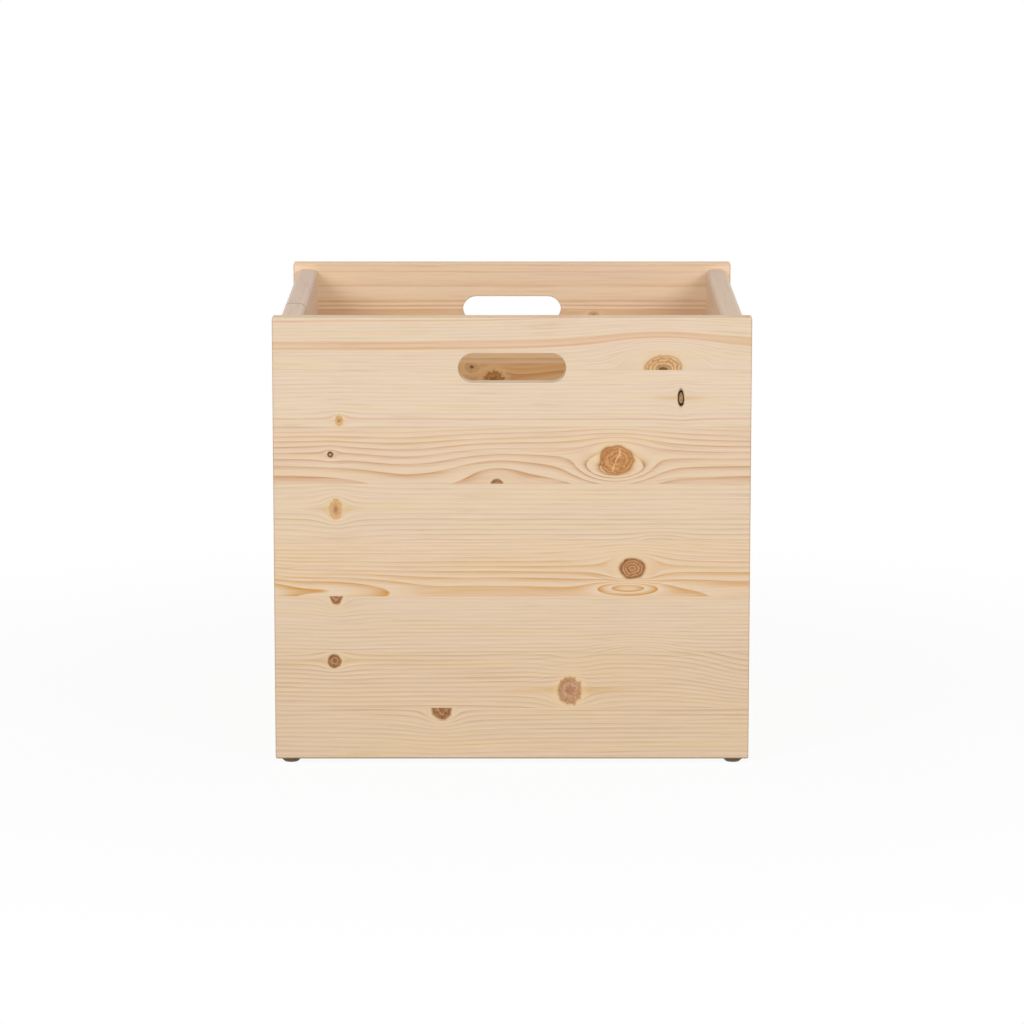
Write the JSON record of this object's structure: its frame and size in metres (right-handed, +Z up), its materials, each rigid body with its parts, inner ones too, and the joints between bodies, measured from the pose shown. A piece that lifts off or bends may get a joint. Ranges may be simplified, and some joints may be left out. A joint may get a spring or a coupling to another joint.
{
  "type": "picture book browser bin",
  "caption": "Open-topped wooden book bin in edge-glued pine, with a hand slot through each end panel, round-topped sides set between them, a grooved-in floor and small nail-on feet.",
  "frame": {"origin": "on the ground plane that the feet stand on, under the middle of the bin's overall box", "axes": "+X across the front to the right as seen from the front, +Y from the front panel to the back panel, +Z up"},
  "size_m": [0.4, 0.4, 0.3795],
  "materials": {
    "pine": "edge-glued knotty pine, sanded, clear matt lacquer",
    "pale_pine": "edge-glued pine with a plainer, greyer grain, sanded, clear matt lacquer",
    "plywood": "birch plywood, sanded",
    "dowel_beech": "fluted beech, raw",
    "brown_plastic": "moulded, dark brown",
    "nail_steel": "bright drawn"
  },
  "bodies": {
    "root": {"front_stave_1": "pine", "front_stave_2": "pine", "front_stave_3": "pine", "front_stave_4": "pine", "front_stave_5": "pine", "front_stave_6": "pine", "front_stave_7": "pine", "front_stave_8": "pine", "back_stave_1": "pine", "back_stave_2": "pine", "back_stave_3": "pine", "back_stave_4": "pine", "back_stave_5": "pine", "back_stave_6": "pine", "back_stave_7": "pine", "back_stave_8": "pine", "left_stave_1_front_length": "pale_pine", "left_stave_1_rear_length": "pale_pine", "left_stave_2": "pale_pine", "left_stave_3": "pale_pine", "left_stave_4": "pale_pine", "left_stave_5": "pale_pine", "left_stave_6": "pale_pine", "left_stave_7": "pale_pine", "left_stave_8": "pale_pine", "right_stave_1": "pale_pine", "right_stave_2": "pale_pine", "right_stave_3": "pale_pine", "right_stave_4": "pale_pine", "right_stave_5": "pale_pine", "right_stave_6": "pale_pine", "right_stave_7": "pale_pine", "right_stave_8": "pale_pine", "floor_panel": "plywood", "dowel_front_left_1": "dowel_beech", "dowel_front_left_2": "dowel_beech", "dowel_front_left_3": "dowel_beech", "dowel_front_right_1": "dowel_beech", "dowel_front_right_2": "dowel_beech", "dowel_front_right_3": "dowel_beech", "dowel_back_left_1": "dowel_beech", "dowel_back_left_2": "dowel_beech", "dowel_back_left_3": "dowel_beech", "dowel_back_right_1": "dowel_beech", "dowel_back_right_2": "dowel_beech", "dowel_back_right_3": "dowel_beech", "foot_front_left": "brown_plastic", "foot_front_right": "brown_plastic", "foot_back_left": "brown_plastic", "foot_back_right": "brown_plastic", "foot_nail_front_left": "nail_steel", "foot_nail_front_right": "nail_steel", "foot_nail_back_left": "nail_steel", "foot_nail_back_right": "nail_steel"}
  },
  "joints": []
}
